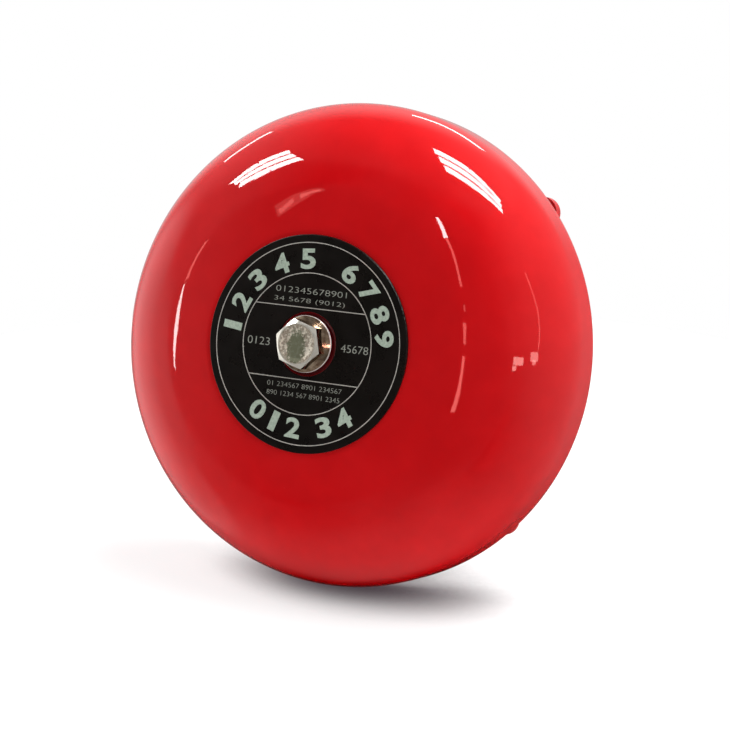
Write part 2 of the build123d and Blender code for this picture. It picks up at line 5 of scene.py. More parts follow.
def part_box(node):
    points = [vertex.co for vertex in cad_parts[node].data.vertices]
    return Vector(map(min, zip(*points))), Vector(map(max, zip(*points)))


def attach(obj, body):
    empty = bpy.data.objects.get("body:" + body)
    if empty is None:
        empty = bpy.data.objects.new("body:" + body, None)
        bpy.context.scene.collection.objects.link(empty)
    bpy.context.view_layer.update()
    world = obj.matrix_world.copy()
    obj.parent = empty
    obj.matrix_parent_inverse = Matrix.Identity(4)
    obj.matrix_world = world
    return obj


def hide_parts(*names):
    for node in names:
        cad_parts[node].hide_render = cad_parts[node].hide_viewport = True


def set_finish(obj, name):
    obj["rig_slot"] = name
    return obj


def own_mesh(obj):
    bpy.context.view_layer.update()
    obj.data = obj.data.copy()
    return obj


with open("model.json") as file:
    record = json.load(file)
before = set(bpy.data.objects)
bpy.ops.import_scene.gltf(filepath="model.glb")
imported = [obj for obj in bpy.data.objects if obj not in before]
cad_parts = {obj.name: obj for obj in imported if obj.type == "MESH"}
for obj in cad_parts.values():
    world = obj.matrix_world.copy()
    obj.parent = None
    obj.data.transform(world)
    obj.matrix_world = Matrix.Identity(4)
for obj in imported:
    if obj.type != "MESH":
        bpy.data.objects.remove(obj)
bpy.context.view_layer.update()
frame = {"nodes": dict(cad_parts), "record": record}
print("bell loaded:", len(frame["nodes"]), "pieces")

scene = bpy.context.scene
scene.view_settings.view_transform = "Standard"

# Sizes of the bell are millimetres on the CAD's axes: x to the right, z up and out from the wall
mm = 0.001
nodes = frame["nodes"]
slotOf = {row["node"]: row["material_slot"] for row in frame["record"]["subparts"]}
gongLow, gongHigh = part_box("gong")
gongRadius = gongHigh.x / mm
rimOut, seatOut = -gongHigh.y / mm, -gongLow.y / mm
dialOut = -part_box("dial_plate")[0].y / mm
bellMiddle = Vector((0, -(rimOut + seatOut) / 2 * mm, 0))


def place(x, out, z):
    return Vector((x, -out, z)) * mm


# Colours are typed as sRGB hex and turned linear here
def colour(code):
    parts = [int(code[i:i + 2], 16) / 255 for i in (1, 3, 5)]
    return [c / 12.92 if c <= 0.04045 else ((c + 0.055) / 1.055) ** 2.4 for c in parts] + [1.0]


# Adds one node with its settings; an input is a value or the node (with the output's name) that feeds it
def addNode(tree, kind, inputs=None, **settings):
    node = tree.nodes.new(kind)
    for key, value in settings.items():
        setattr(node, key, value)
    for key, value in (inputs or {}).items():
        if isinstance(value, tuple) and isinstance(value[0], bpy.types.Node):
            tree.links.new(value[0].outputs[value[1]], node.inputs[key])
        elif isinstance(value, bpy.types.Node):
            tree.links.new(value.outputs[0], node.inputs[key])
        else:
            node.inputs[key].default_value = value
    return node


# Camera: to the right of the bell's axis and rolled against it; angles are in degrees, lengths in metres
cameraPlace = {"turn": 24.3, "roll": 8.0, "distance": 0.6105, "lens": 95.28, "sensor": 36.0,
               "aimRight": 0.0003, "aimUp": 0.00619}


# Rows: the camera's right, up and back on the bell's axes
def cameraAxes(view):
    turn, roll = math.radians(view["turn"]), math.radians(view["roll"])
    out = Vector((-math.sin(turn), 0, math.cos(turn)))
    level = Vector((math.cos(turn), 0, math.sin(turn)))
    upright = Vector((0, 1, 0))
    up = math.cos(roll) * upright + math.sin(roll) * level
    right = math.cos(roll) * level - math.sin(roll) * upright
    return Matrix(((right.x, -out.x, up.x), (right.y, -out.y, up.y), (right.z, -out.z, up.z)))


fromCamera = cameraAxes(cameraPlace).transposed()
lookAt = Vector((cameraPlace["aimRight"], cameraPlace["aimUp"], -cameraPlace["distance"]))
cameraData = bpy.data.cameras.new("Camera")
cameraData.lens, cameraData.sensor_width = cameraPlace["lens"], cameraPlace["sensor"]
cameraData.clip_start, cameraData.clip_end = 0.05, 20
camera = bpy.data.objects.new("Camera", cameraData)
scene.collection.objects.link(camera)
camera.matrix_world = Matrix.Translation(place(0, rimOut, 0) - fromCamera @ lookAt) @ fromCamera.to_4x4()
scene.camera = camera
print("camera placed")


# A direction from the bell: its turn to the right of the camera and its height, both in degrees
def direction(turn, height):
    turn, height = math.radians(turn), math.radians(height)
    return fromCamera @ Vector((math.sin(turn) * math.cos(height), math.sin(height),
                                math.cos(turn) * math.cos(height)))


# Studio: a white sweep behind the bell, pale walls at its sides and a dim room in front. The gloss shows
# each patch as light round one direction, full where the cosine between that and a ray is "full" and gone
# where it has fallen to "gone"
studio = {"ambient": 0.49, "room": 0.0}
roomPatches = {
    "LeftWall": {"turn": -114, "height": 6, "gone": 0.42, "full": 0.79, "level": 0.31},
    "LeftPanel": {"turn": -116, "height": -7, "gone": 0.79, "full": 0.87, "level": 0.30},
    "LeftGlow": {"turn": -116, "height": 2, "gone": 0.82, "full": 1.0, "level": 0.51},
    "RightWall": {"turn": 92, "height": 10, "gone": 0.05, "full": 1.0, "level": 0.43},
    "SweepTop": {"turn": 180, "height": 32, "gone": 0.76, "full": 0.97, "level": 0.52},
    "Ceiling": {"turn": -120, "height": 82, "gone": 0.59, "full": 0.72, "level": 0.15},
    "Ground": {"turn": -65, "height": -81, "gone": 0.50, "full": 1.0, "level": 0.31},
    "FrontWall": {"turn": -15, "height": -1, "gone": 0.70, "full": 0.75, "level": 0.06},
}


def buildWorld():
    world = bpy.data.worlds.new("Studio")
    scene.world = world
    world.use_nodes = True
    tree = world.node_tree
    tree.nodes.clear()
    ray = addNode(tree, "ShaderNodeTexCoord")
    room = studio["room"]
    for patch in roomPatches.values():
        facing = addNode(tree, "ShaderNodeVectorMath",
                         {0: (ray, "Generated"), 1: direction(patch["turn"], patch["height"])},
                         operation="DOT_PRODUCT")
        light = addNode(tree, "ShaderNodeMapRange", {"Value": (facing, "Value"), "From Min": patch["gone"],
                                                     "From Max": patch["full"], "To Max": patch["level"]},
                        interpolation_type="SMOOTHSTEP")
        room = addNode(tree, "ShaderNodeMath", {0: light, 1: room}, operation="ADD")
    path = addNode(tree, "ShaderNodeLightPath")
    shown = addNode(tree, "ShaderNodeMath", {0: (path, "Is Glossy Ray"), 1: (path, "Is Transmission Ray")},
                    operation="MAXIMUM")
    around = addNode(tree, "ShaderNodeMix", {"Factor": shown, "A": studio["ambient"], "B": room})
    strength = addNode(tree, "ShaderNodeMix", {"Factor": (path, "Is Camera Ray"), "A": around, "B": 1.0})
    background = addNode(tree, "ShaderNodeBackground", {"Color": (1, 1, 1, 1), "Strength": strength})
    addNode(tree, "ShaderNodeOutputWorld", {"Surface": background})


buildWorld()

# Big soft lamps give the body colours their light; "light" is what a white surface facing one sends back
softLamps = {
    "SoftTop": {"turn": 60, "height": 60, "away": 1.1, "size": 0.9, "light": 1.7},
    "SoftLeft": {"turn": -120, "height": 0, "away": 1.2, "size": 0.8, "light": 1.15},
    "SoftBehind": {"turn": -150, "height": 20, "away": 1.2, "size": 0.8, "light": 0.75},
    "SoftRight": {"turn": 130, "height": 0, "away": 1.2, "size": 0.8, "light": 0.32},
}
# Banks of tubes that only show in the gloss, from an outer tube to an inner one, each along three directions
tubeBanks = {
    "BankLeft": {"outer": ((-85, 34.5), (-84, 43), (-78, 50)),
                 "inner": ((-76.5, 32), (-70, 37), (-64, 43.5)), "glow": 23},
    "BankRight": {"outer": ((55.5, 78.5), (71.5, 66), (70.5, 51.5)),
                  "inner": ((26, 67.5), (47.5, 59.5), (62, 48)), "glow": 23},
}
bankShape = {"tubes": 3, "parts": 4, "gap": 0.22}
# Single lines of light from direction to direction: their width in metres, their glow and their tint
lightLines = {
    "RimLeft": {"points": ((-133, 37.5), (-137, 43), (-143.5, 46.5)), "width": 0.05, "glow": 8},
    "RimRight": {"points": ((169, 46), (159, 44), (145, 44)), "width": 0.05, "glow": 8},
    "CreaseRightTop": {"points": ((-18, 29.5), (-16.5, 24)), "width": 0.024, "glow": 20},
    "CreaseRightUp": {"points": ((-16.5, 24), (-15, 21), (-14, 17.5), (-13, 13)), "width": 0.011, "glow": 8,
                      "tint": "pink"},
    "CreaseRightDash": {"points": ((-12.5, 9), (-12.5, 7.5)), "width": 0.012, "glow": 5, "tint": "pink"},
    "CreaseRight": {"points": ((-13, 5), (-13.5, 0.5)), "width": 0.03, "glow": 8, "tint": "pink"},
    "CreaseRightLow": {"points": ((-14, -2), (-14.5, -6), (-15, -11), (-16, -14)), "width": 0.042,
                       "glow": 10, "tint": "pink"},
    "CreaseLeftUp": {"points": ((-70, 15.5), (-70.5, 12.5), (-70.5, 9)), "width": 0.045, "glow": 7,
                     "tint": "pink"},
    "CreaseLeft": {"points": ((-71, 8.5), (-71, 3), (-72.5, -2.5)), "width": 0.03, "glow": 16},
    "PlateauLow": {"points": ((-55.5, 18), (-53.5, 19.5)), "width": 0.01, "glow": 5, "tint": "pink"},
    "PlateauHigh": {"points": ((-52.5, 20), (-49.5, 21.5)), "width": 0.01, "glow": 6, "tint": "pink"},
    "PlateauHaze": {"points": ((-56, 18), (-49, 22)), "width": 0.026, "glow": 2.5, "tint": "pink"},
    "SideRight": {"points": ((52, 25), (54.5, 19), (57.5, 12), (57.5, 5.5), (55.5, -1.5)), "width": 0.02,
                  "glow": 7, "tint": "pink"},
    "WindowNear": {"points": ((27, -5), (38.5, -5.5)), "width": 0.05, "glow": 10, "tint": "blush"},
    "WindowNearLeg": {"points": ((26.5, -7.5), (31, -7.5)), "width": 0.03, "glow": 10, "tint": "blush"},
    "WindowFar": {"points": ((46.5, -4), (55.5, -4)), "width": 0.06, "glow": 8, "tint": "blush"},
    "WindowFarLeg": {"points": ((49, -6), (53, -6)), "width": 0.03, "glow": 8, "tint": "blush"},
}
tints = {"pink": "#FF8F88", "blush": "#FFC4BC", "plain": "#FFFFFF"}
tubesAway = 1.05


# A lamp that faces the bell, with its length along run; it shows either in the gloss or in the body colours
def addLamp(name, centre, sizes, energy, run=None, gloss=False, tint="plain"):
    data = bpy.data.lights.new(name, "AREA")
    data.shape = "RECTANGLE"
    data.size, data.size_y = sizes
    data.energy = energy
    data.color = colour(tints[tint])[:3]
    lamp = bpy.data.objects.new(name, data)
    scene.collection.objects.link(lamp)
    back = (centre - bellMiddle).normalized()
    side = (run - run.dot(back) * back).normalized() if run else back.orthogonal().normalized()
    lamp.matrix_world = (Matrix.Translation(centre)
                         @ Matrix((side, back.cross(side), back)).transposed().to_4x4())
    lamp.visible_camera = False
    lamp.visible_diffuse = not gloss
    lamp.visible_glossy = lamp.visible_transmission = gloss


def addTube(name, start, end, width, glow, tint="plain"):
    run = end - start
    energy = glow * run.length * width * math.pi
    addLamp(name, (start + end) / 2, (run.length, width), energy, run, gloss=True, tint=tint)


# The point at a share of the way along a line of evenly spaced points
def pointAlong(points, share):
    k = min(int(share * (len(points) - 1)), len(points) - 2)
    return points[k].lerp(points[k + 1], share * (len(points) - 1) - k)


def tubePoints(directions):
    return [bellMiddle + direction(*point) * tubesAway for point in directions]


def addBank(name, bank):
    outer, inner = tubePoints(bank["outer"]), tubePoints(bank["inner"])
    last, parts = bankShape["tubes"] - 1, bankShape["parts"]
    for tube in range(bankShape["tubes"]):
        for part in range(parts):
            ends, widths = [], []
            for share in (part / parts, (part + 1) / parts):
                low, high = pointAlong(outer, share), pointAlong(inner, share)
                ends.append(low.lerp(high, tube / last))
                widths.append((high - low).length / last)
            width = sum(widths) / 2 * (1 - bankShape["gap"])
            addTube(f"{name}{tube}{part}", *ends, width, bank["glow"])


def addLamps():
    for name, lamp in softLamps.items():
        centre = bellMiddle + direction(lamp["turn"], lamp["height"]) * lamp["away"]
        addLamp(name, centre, (lamp["size"], lamp["size"]), lamp["light"] * (math.pi * lamp["away"]) ** 2)
    for name, bank in tubeBanks.items():
        addBank(name, bank)
    for name, line in lightLines.items():
        points = tubePoints(line["points"])
        for k, ends in enumerate(zip(points, points[1:])):
            addTube(f"{name}{k}", *ends, line["width"], line["glow"], line.get("tint", "plain"))


addLamps()

# Floor: white paper that keeps the bell's shadow. The shadow is what the bell hides of three patches of sky,
# each leaning off the floor's upright and seen within a reach; it is deepest where little of each is left
floorPlace = {"lean": 15.0, "radius": 0.26, "behind": 0.12, "gap": 0.0002, "rimBand": 10, "lift": 0.85,
              "lit": 0.3, "paper": "#F4F4F4", "shadow": "#40323A"}
floorSkies = {"Left": {"right": -0.5, "back": -0.35, "reach": 0.04, "dark": 0.1, "clear": 0.68},
              "Right": {"right": -0.9, "back": -1.2, "reach": 0.045, "dark": 0.25, "clear": 0.72},
              "Close": {"right": -0.7, "back": -0.6, "reach": 0.03, "dark": -0.4, "clear": 0.75}}


# Only the camera sees the shadow and the lift to white; gloss and views from below look through the paper
def whitePaper(up, back):
    paper = bpy.data.materials.new("WhitePaper")
    paper.use_nodes = True
    tree = paper.node_tree
    tree.nodes.clear()
    path = addNode(tree, "ShaderNodeLightPath")
    white = colour(floorPlace["paper"])
    lit = 1.0
    for view in floorSkies.values():
        sky = (up + back.cross(up) * view["right"] + back * view["back"]).normalized()
        facing = addNode(tree, "ShaderNodeCombineXYZ", {0: sky.x, 1: sky.y, 2: sky.z})
        seenSky = addNode(tree, "ShaderNodeAmbientOcclusion", {"Distance": view["reach"], "Normal": facing},
                          samples=16)
        openSky = addNode(tree, "ShaderNodeMapRange", {"Value": (seenSky, "AO"), "From Min": view["dark"],
                                                       "From Max": view["clear"]})
        lit = addNode(tree, "ShaderNodeMath", {0: openSky, 1: lit}, operation="MULTIPLY")
    shaded = addNode(tree, "ShaderNodeMix", {0: lit, 6: colour(floorPlace["shadow"]), 7: white},
                     data_type="RGBA")
    seen = addNode(tree, "ShaderNodeMix", {0: (path, "Is Camera Ray"), 6: white, 7: (shaded, 2)},
                   data_type="RGBA")
    share = addNode(tree, "ShaderNodeMapRange", {"Value": (path, "Is Camera Ray"), "To Min": 1.0,
                                                 "To Max": floorPlace["lit"]})
    paperLit = addNode(tree, "ShaderNodeMix", {0: share, 6: (0, 0, 0, 1), 7: (seen, 2)}, data_type="RGBA")
    matt = addNode(tree, "ShaderNodeBsdfDiffuse", {"Color": (paperLit, 2)})
    lift = addNode(tree, "ShaderNodeMath", {0: (path, "Is Camera Ray"), 1: floorPlace["lift"]},
                   operation="MULTIPLY")
    glow = addNode(tree, "ShaderNodeEmission", {"Color": (seen, 2), "Strength": lift})
    sheet = addNode(tree, "ShaderNodeAddShader", {0: matt, 1: glow})
    clear = addNode(tree, "ShaderNodeBsdfTransparent")
    side = addNode(tree, "ShaderNodeNewGeometry")
    unseen = addNode(tree, "ShaderNodeMath", {0: (path, "Is Glossy Ray"), 1: (side, "Backfacing")},
                     operation="MAXIMUM")
    surface = addNode(tree, "ShaderNodeMixShader", {0: unseen, 1: sheet, 2: clear})
    addNode(tree, "ShaderNodeOutputMaterial", {"Surface": surface})
    return paper


def buildFloor():
    lean = math.radians(floorPlace["lean"])
    up = fromCamera @ Vector((0, math.cos(lean), math.sin(lean)))
    back = fromCamera @ Vector((0, math.sin(lean), -math.cos(lean)))
    axis = Vector((0, -1, 0))
    across = (up - up.dot(axis) * axis).normalized()
    edges = (rimOut, rimOut + floorPlace["rimBand"])
    rim = [place(0, out, 0) - across * gongRadius * mm for out in edges]
    contact = min(rim, key=lambda point: point.dot(up))
    mesh = bpy.data.meshes.new("floor")
    bm = bmesh.new()
    bmesh.ops.create_circle(bm, cap_ends=True, segments=128, radius=floorPlace["radius"])
    bm.to_mesh(mesh)
    bm.free()
    floor = bpy.data.objects.new("floor", mesh)
    scene.collection.objects.link(floor)
    centre = contact - up * floorPlace["gap"] + back * floorPlace["behind"]
    turned = Matrix((back.cross(up), back, up)).transposed().to_4x4()
    floor.matrix_world = Matrix.Translation(centre) @ turned
    mesh.materials.append(whitePaper(up, back))


buildFloor()
print("studio built")


# A mesh that rides a body and takes a finish by its slot
def addMesh(name, verts, faces, body, slot, sharpAngle=35):
    mesh = bpy.data.meshes.new(name)
    mesh.from_pydata(verts, [], faces)
    mesh.shade_smooth()
    mesh.set_sharp_from_angle(angle=math.radians(sharpAngle))
    piece = bpy.data.objects.new(name, mesh)
    scene.collection.objects.link(piece)
    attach(piece, body)
    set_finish(piece, slot)
    return piece


# Turns a closed outline of (radius, out) points about the bell's axis
def lathe(name, outline, segments, body, slot):
    turns = [2 * math.pi * k / segments for k in range(segments)]
    verts = [place(r * math.cos(turn), out, r * math.sin(turn)) for r, out in outline for turn in turns]
    faces = []
    for i in range(len(outline)):
        ring, following = i * segments, (i + 1) % len(outline) * segments
        faces += [(ring + k, following + k, following + (k + 1) % segments, ring + (k + 1) % segments)
                  for k in range(segments)]
    return addMesh(name, verts, faces, body, slot)


# Gong: a pressed dome of one wall, turned finer than the solid so that its gloss runs smooth. Its outer skin
# is a chain of arcs outward from the flat seat, each with its radius and the slope it ends at
gongShape = {"wall": 2.0, "boltHole": 4.35, "rimRound": 0.8, "segments": 300, "turnStep": 2.0, "step": 1.6,
             "lipStep": 15, "arcs": {"seat": (9.0, 6.0), "plateau": (400.0, 7.7),
                                    "crease": (22.0, 15.3), "cone": (136.0, 17.5), "shoulder": (30.0, 90.0)}}


# Points (radius, out, slope) along an arc from one slope to another
def arcPoints(r, out, radius, low, high, turnStep, step):
    count = math.ceil(max((high - low) / turnStep, radius * math.radians(high - low) / step))
    slopes = [math.radians(low + (high - low) * k / count) for k in range(count + 1)]
    first = slopes[0]
    return [(r + radius * (math.sin(t) - math.sin(first)), out - radius * (math.cos(first) - math.cos(t)), t)
            for t in slopes]


def gongOutline(shape):
    wall, rimRound, steps = shape["wall"], shape["rimRound"], (shape["turnStep"], shape["step"])
    bends, low, reach = [], 0.0, 0.0
    for radius, high in shape["arcs"].values():
        reach += radius * (math.sin(math.radians(high)) - math.sin(math.radians(low)))
        bends.append((radius, low, high))
        low = high
    skin = [(shape["boltHole"], seatOut, 0.0), (gongRadius - reach, seatOut, 0.0)]
    for radius, low, high in bends:
        skin += arcPoints(*skin[-1][:2], radius, low, high, *steps)[1:]
    foot = rimOut + rimRound
    skin += [(gongRadius, skin[-1][1] + (foot - skin[-1][1]) * share, math.pi / 2) for share in (0.33, 0.67)]
    lip = arcPoints(gongRadius, foot, rimRound, 90, 180, shape["lipStep"], rimRound)
    lip += arcPoints(gongRadius - wall + rimRound, rimOut, rimRound, 180, 270, shape["lipStep"], rimRound)
    inner = [(r - wall * math.sin(t), out - wall * math.cos(t)) for r, out, t in reversed(skin)]
    inner[-1] = (shape["boltHole"], seatOut - wall)
    return [(r, out) for r, out, t in skin + lip] + inner


gong = lathe("gong_shell", gongOutline(gongShape), gongShape["segments"], "gong", "gong_enamel")
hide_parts("gong")
print("gong turned:", len(gong.data.vertices), "points")

# Dial print: thin raised ink on the black plate; angles are clockwise from the top, in degrees
ink = {"thick": 0.03, "turn": 1.3, "line": 0.25, "capital": 0.7, "outerRing": 30.1, "innerRing": 21.05,
       "chord": 10.7}
figures = {"radius": 25.2, "height": 6.1, "width": 4.9, "narrow": 2.3, "bold": 0.55, "smallBold": -0.07,
           "top": {"1": -83, "2": -65.5, "3": -46, "4": -25.5, "5": -5, "6": 28.5, "7": 47, "8": 64,
                   "9": 80.5},
           "foot": {"0": -147, "1": -161.5, "2": -176.5, "3": 160.5, "4": 144.5}}
# Small rows: their figures, the place of the row's middle, its length and the figures' height
smallRows = [("012345678901", -0.15, 15.6, 23.3, 1.75), ("34 5678 (9012)", -0.45, 12.5, 23.3, 1.75),
             ("0123", -15.8, -0.6, 7.4, 2.3), ("45678", 15.8, 0.1, 8.8, 2.3),
             ("01 234567 8901 234567", 0.8, -12.7, 24.6, 1.45),
             ("890 1234 567 8901 2345", 0.65, -15.4, 24.1, 1.45)]


# A mesh in the dial's plane, from points (x, z, height above the plate) in millimetres
def addInk(name, points, faces, kind="line"):
    turn = Matrix.Rotation(math.radians(ink["turn"]), 2)
    verts = []
    for x, z, height in points:
        flat = turn @ Vector((x, z))
        verts.append(place(flat.x, dialOut + height, flat.y))
    piece = addMesh(name, verts, faces, "gong", "dial_black")
    piece["ink"] = kind


def inkRing(name, radius):
    count, half = 192, ink["line"] / 2
    outer, inner = radius + half, radius - half
    section = [(outer, 0), (outer, ink["thick"]), (inner, ink["thick"]), (inner, 0)]
    points = [(r * math.cos(2 * math.pi * k / count), r * math.sin(2 * math.pi * k / count), height)
              for k in range(count) for r, height in section]
    faces = []
    for k in range(count):
        here, following = 4 * k, 4 * ((k + 1) % count)
        faces += [(here + i, here + (i + 1) % 4, following + (i + 1) % 4, following + i) for i in range(4)]
    addInk(name, points, faces)


def inkChord(name, z):
    reach, half = math.sqrt(ink["innerRing"] ** 2 - z ** 2), ink["line"] / 2
    points = [(x, z + side * half, height) for x in (-reach, reach) for side in (-1, 1)
              for height in (0, ink["thick"])]
    faces = [(0, 1, 3, 2), (4, 6, 7, 5), (0, 2, 6, 4), (1, 5, 7, 3), (0, 4, 5, 1), (2, 3, 7, 6)]
    addInk(name, points, faces)


# Plain figures from the built-in typeface, in its own width where none is given; bold is what a stroke gains
def inkText(name, text, x, z, height, width=None, lean=0.0, bold=0.0, kind="letter"):
    curve = bpy.data.curves.new(name, "FONT")
    curve.body, curve.size = text, 1.0
    curve.extrude = ink["thick"] / 2
    curve.resolution_u = 4
    curve.offset = bold / 2 / (height / ink["capital"])
    holder = bpy.data.objects.new(name, curve)
    scene.collection.objects.link(holder)
    bpy.context.view_layer.update()
    mesh = bpy.data.meshes.new_from_object(holder.evaluated_get(bpy.context.evaluated_depsgraph_get()))
    bpy.data.objects.remove(holder)
    low = [min(v.co[i] for v in mesh.vertices) for i in range(2)]
    high = [max(v.co[i] for v in mesh.vertices) for i in range(2)]
    middle = [(low[i] + high[i]) / 2 for i in range(2)]
    tall = height / (high[1] - low[1])
    wide = width / (high[0] - low[0]) if width else tall
    turn = Matrix.Rotation(math.radians(-lean), 2)
    points = []
    for v in mesh.vertices:
        flat = turn @ Vector(((v.co.x - middle[0]) * wide, (v.co.y - middle[1]) * tall))
        points.append((x + flat.x, z + flat.y, ink["thick"] if v.co.z > 0 else 0.0))
    addInk(name, points, [tuple(face.vertices) for face in mesh.polygons], kind)


def printDial():
    inkRing("dial_ring_outer", ink["outerRing"])
    inkRing("dial_ring_inner", ink["innerRing"])
    inkChord("dial_chord_upper", ink["chord"])
    inkChord("dial_chord_lower", -ink["chord"])
    for side in ("top", "foot"):
        for figure, angle in figures[side].items():
            turn = math.radians(angle)
            inkText(f"dial_{side}_{figure}", figure, figures["radius"] * math.sin(turn),
                    figures["radius"] * math.cos(turn), figures["height"],
                    figures["narrow"] if figure == "1" else figures["width"],
                    lean=angle if side == "top" else angle + 180, bold=figures["bold"])
    for k, (text, x, z, width, height) in enumerate(smallRows):
        inkText(f"dial_row_{k}", text, x, z, height, width, bold=figures["smallBold"], kind="small")


printDial()
print("dial printed")

# Return spring: turns of wire round the rod
springShape = {"turns": 4, "wire": 0.3, "sides": 12, "steps": 192, "keep": 0.743}


# A closed tube swept along a helix that fills the node's box
def coilSpring(name, node, shape):
    low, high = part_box(node)
    wire, sides = shape["wire"] * mm, shape["sides"]
    radius, middle = (high.x - low.x) / 2 - wire, (low + high) / 2
    rise = high.z - low.z - 2 * wire
    verts, faces = [], []
    for k in range(shape["steps"] + 1):
        share = k / shape["steps"]
        turn = 2 * math.pi * shape["turns"] * share
        outward = Vector((math.cos(turn), math.sin(turn), 0))
        run = Vector((-outward.y, outward.x, rise / (2 * math.pi * shape["turns"] * radius))).normalized()
        centre = Vector((middle.x, middle.y, low.z + wire + rise * share)) + outward * radius
        for i in range(sides):
            lean = 2 * math.pi * i / sides
            verts.append(centre + (outward * math.cos(lean) + outward.cross(run) * math.sin(lean)) * wire)
    for near in range(0, shape["steps"] * sides, sides):
        far = near + sides
        faces += [(near + i, near + (i + 1) % sides, far + (i + 1) % sides, far + i) for i in range(sides)]
    faces += [tuple(range(sides)), tuple(range(len(verts) - 1, len(verts) - 1 - sides, -1))]
    spring = addMesh(name, verts, faces, "striker", "spring_steel")
    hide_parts(node)
    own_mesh(spring)


coilSpring("return_spring_coil", "return_spring", springShape)
print("spring wound")


# Finishes: every pattern's size is in millimetres on the bell. A recipe adds its patterns to the material's
# nodes and returns what goes into the shader
def makeFinish(name, recipe, *shades):
    finish = bpy.data.materials.new(name)
    finish.use_nodes = True
    tree = finish.node_tree
    tree.nodes.clear()
    addNode(tree, "ShaderNodeTexCoord", name="place")
    shader = addNode(tree, "ShaderNodeBsdfPrincipled", recipe(tree, *shades))
    addNode(tree, "ShaderNodeOutputMaterial", {"Surface": shader})
    return finish


# Noise of one size that runs between two values; stretch shortens it along an axis
def grain(tree, size, low, high, stretch=(1, 1, 1), detail=3.0, reach=(0.35, 0.65)):
    where = addNode(tree, "ShaderNodeVectorMath", {0: (tree.nodes["place"], "Object"), 1: stretch},
                    operation="MULTIPLY")
    noise = addNode(tree, "ShaderNodeTexNoise", {"Vector": where, "Scale": 1 / (size * mm),
                                                 "Detail": detail})
    return addNode(tree, "ShaderNodeMapRange", {"Value": noise, "From Min": reach[0], "From Max": reach[1],
                                                "To Min": low, "To Max": high})


# Small round specks: the value of strength on a speck and 0 elsewhere
def specks(tree, spacing, size, strength=1.0):
    cells = addNode(tree, "ShaderNodeTexVoronoi", {"Vector": (tree.nodes["place"], "Object"),
                                                   "Scale": 1 / (spacing * mm), "Randomness": 1.0})
    return addNode(tree, "ShaderNodeMapRange", {"Value": cells, "From Min": size / spacing / 2,
                                                "From Max": size / spacing / 3, "To Min": 0.0,
                                                "To Max": strength})


# Ridges of one pitch, as a tool or a winding leaves them: rings about an axis or straight diagonal lines.
# The wave repeats every pi / 10 at a scale of 1
def ridges(tree, pitch, about=None, waver=0.6):
    run = {"wave_type": "RINGS", "rings_direction": about} if about else {"bands_direction": "DIAGONAL"}
    wave = addNode(tree, "ShaderNodeTexWave", {"Vector": (tree.nodes["place"], "Object"),
                                               "Scale": math.pi / 10 / (pitch * mm), "Distortion": waver,
                                               "Detail": 2.0, "Detail Scale": 1.5}, **run)
    return wave, "Fac"


# 1 from one distance along an axis (X, Y for out, or Z) to another, and 0 elsewhere
def band(tree, axis, low, high):
    parts = addNode(tree, "ShaderNodeSeparateXYZ", {0: (tree.nodes["place"], "Object")})
    sign = -mm if axis == "Y" else mm
    middle, half = (low + high) / 2 * sign, abs(high - low) / 2 * mm
    return addNode(tree, "ShaderNodeMath", {0: (parts, axis), 1: middle, 2: half}, operation="COMPARE")


# 1 near the bell's axis, falling to 0 between two radii
def nearAxis(tree, inner, outer):
    flat = addNode(tree, "ShaderNodeVectorMath", {0: (tree.nodes["place"], "Object"), 1: (1, 0, 1)},
                   operation="MULTIPLY")
    radius = addNode(tree, "ShaderNodeVectorMath", {0: flat}, operation="LENGTH")
    return addNode(tree, "ShaderNodeMapRange", {"Value": (radius, "Value"), "From Min": inner * mm,
                                                "From Max": outer * mm, "To Min": 1.0, "To Max": 0.0})


# Colours laid over a base, each as far as its pattern runs to 1; a colour may be some laid before
def layColours(tree, base, *over):
    laid = colour(base)
    for pattern, shade in over:
        shade = shade if isinstance(shade, tuple) else colour(shade)
        laid = (addNode(tree, "ShaderNodeMix", {0: pattern, 6: laid, 7: shade}, data_type="RGBA"), 2)
    return laid


# Relief in layers of (pattern, height in millimetres), each laid over the one before
def relief(tree, *layers):
    bump = None
    for pattern, height in layers:
        under = {"Normal": bump} if bump else {}
        bump = addNode(tree, "ShaderNodeBump", {"Height": pattern, "Distance": height * mm, "Strength": 1.0,
                                                **under})
    return bump


# Red stoving enamel on pressed steel: a deep even red under a mirror gloss that only ripples a little, with
# a few specks of dust, and a dark ring of painted shade round the bolt's hole for the shadow of its flange
def gongEnamel(tree):
    size = {"mottle": 16, "peel": 2.4, "peelHeight": 0.0006, "flow": 13, "flowHeight": 0.004, "smudge": 22,
            "dust": 5.5, "speck": 0.22, "dustArea": 31, "paintedShadeFrom": 9.0, "paintedShadeTo": 10.4}
    dust = addNode(tree, "ShaderNodeMath", {0: specks(tree, size["dust"], size["speck"]),
                                            1: grain(tree, size["dustArea"], 0, 0.5, reach=(0.5, 0.62))},
                   operation="MULTIPLY")
    # Painted shade: the last colour darkens the red near the bolt's hole, standing in for the flange's
    # shadow
    return {"Base Color": layColours(tree, "#C90D12", (grain(tree, size["mottle"], 0, 1), "#CE1116"),
                                     (grain(tree, size["peel"] * 3, 0, 0.35), "#BE0C12"), (dust, "#E7A9A4"),
                                     (nearAxis(tree, size["paintedShadeFrom"], size["paintedShadeTo"]), "#4E0409")),
            "Roughness": grain(tree, size["smudge"], 0.012, 0.035),
            "Normal": relief(tree, (grain(tree, size["flow"], 0, 1, detail=1.0, reach=(0.2, 0.8)),
                                    size["flowHeight"]),
                             (grain(tree, size["peel"], 0, 1, detail=1.5, reach=(0.2, 0.8)),
                              size["peelHeight"])),
            "IOR": 1.5}


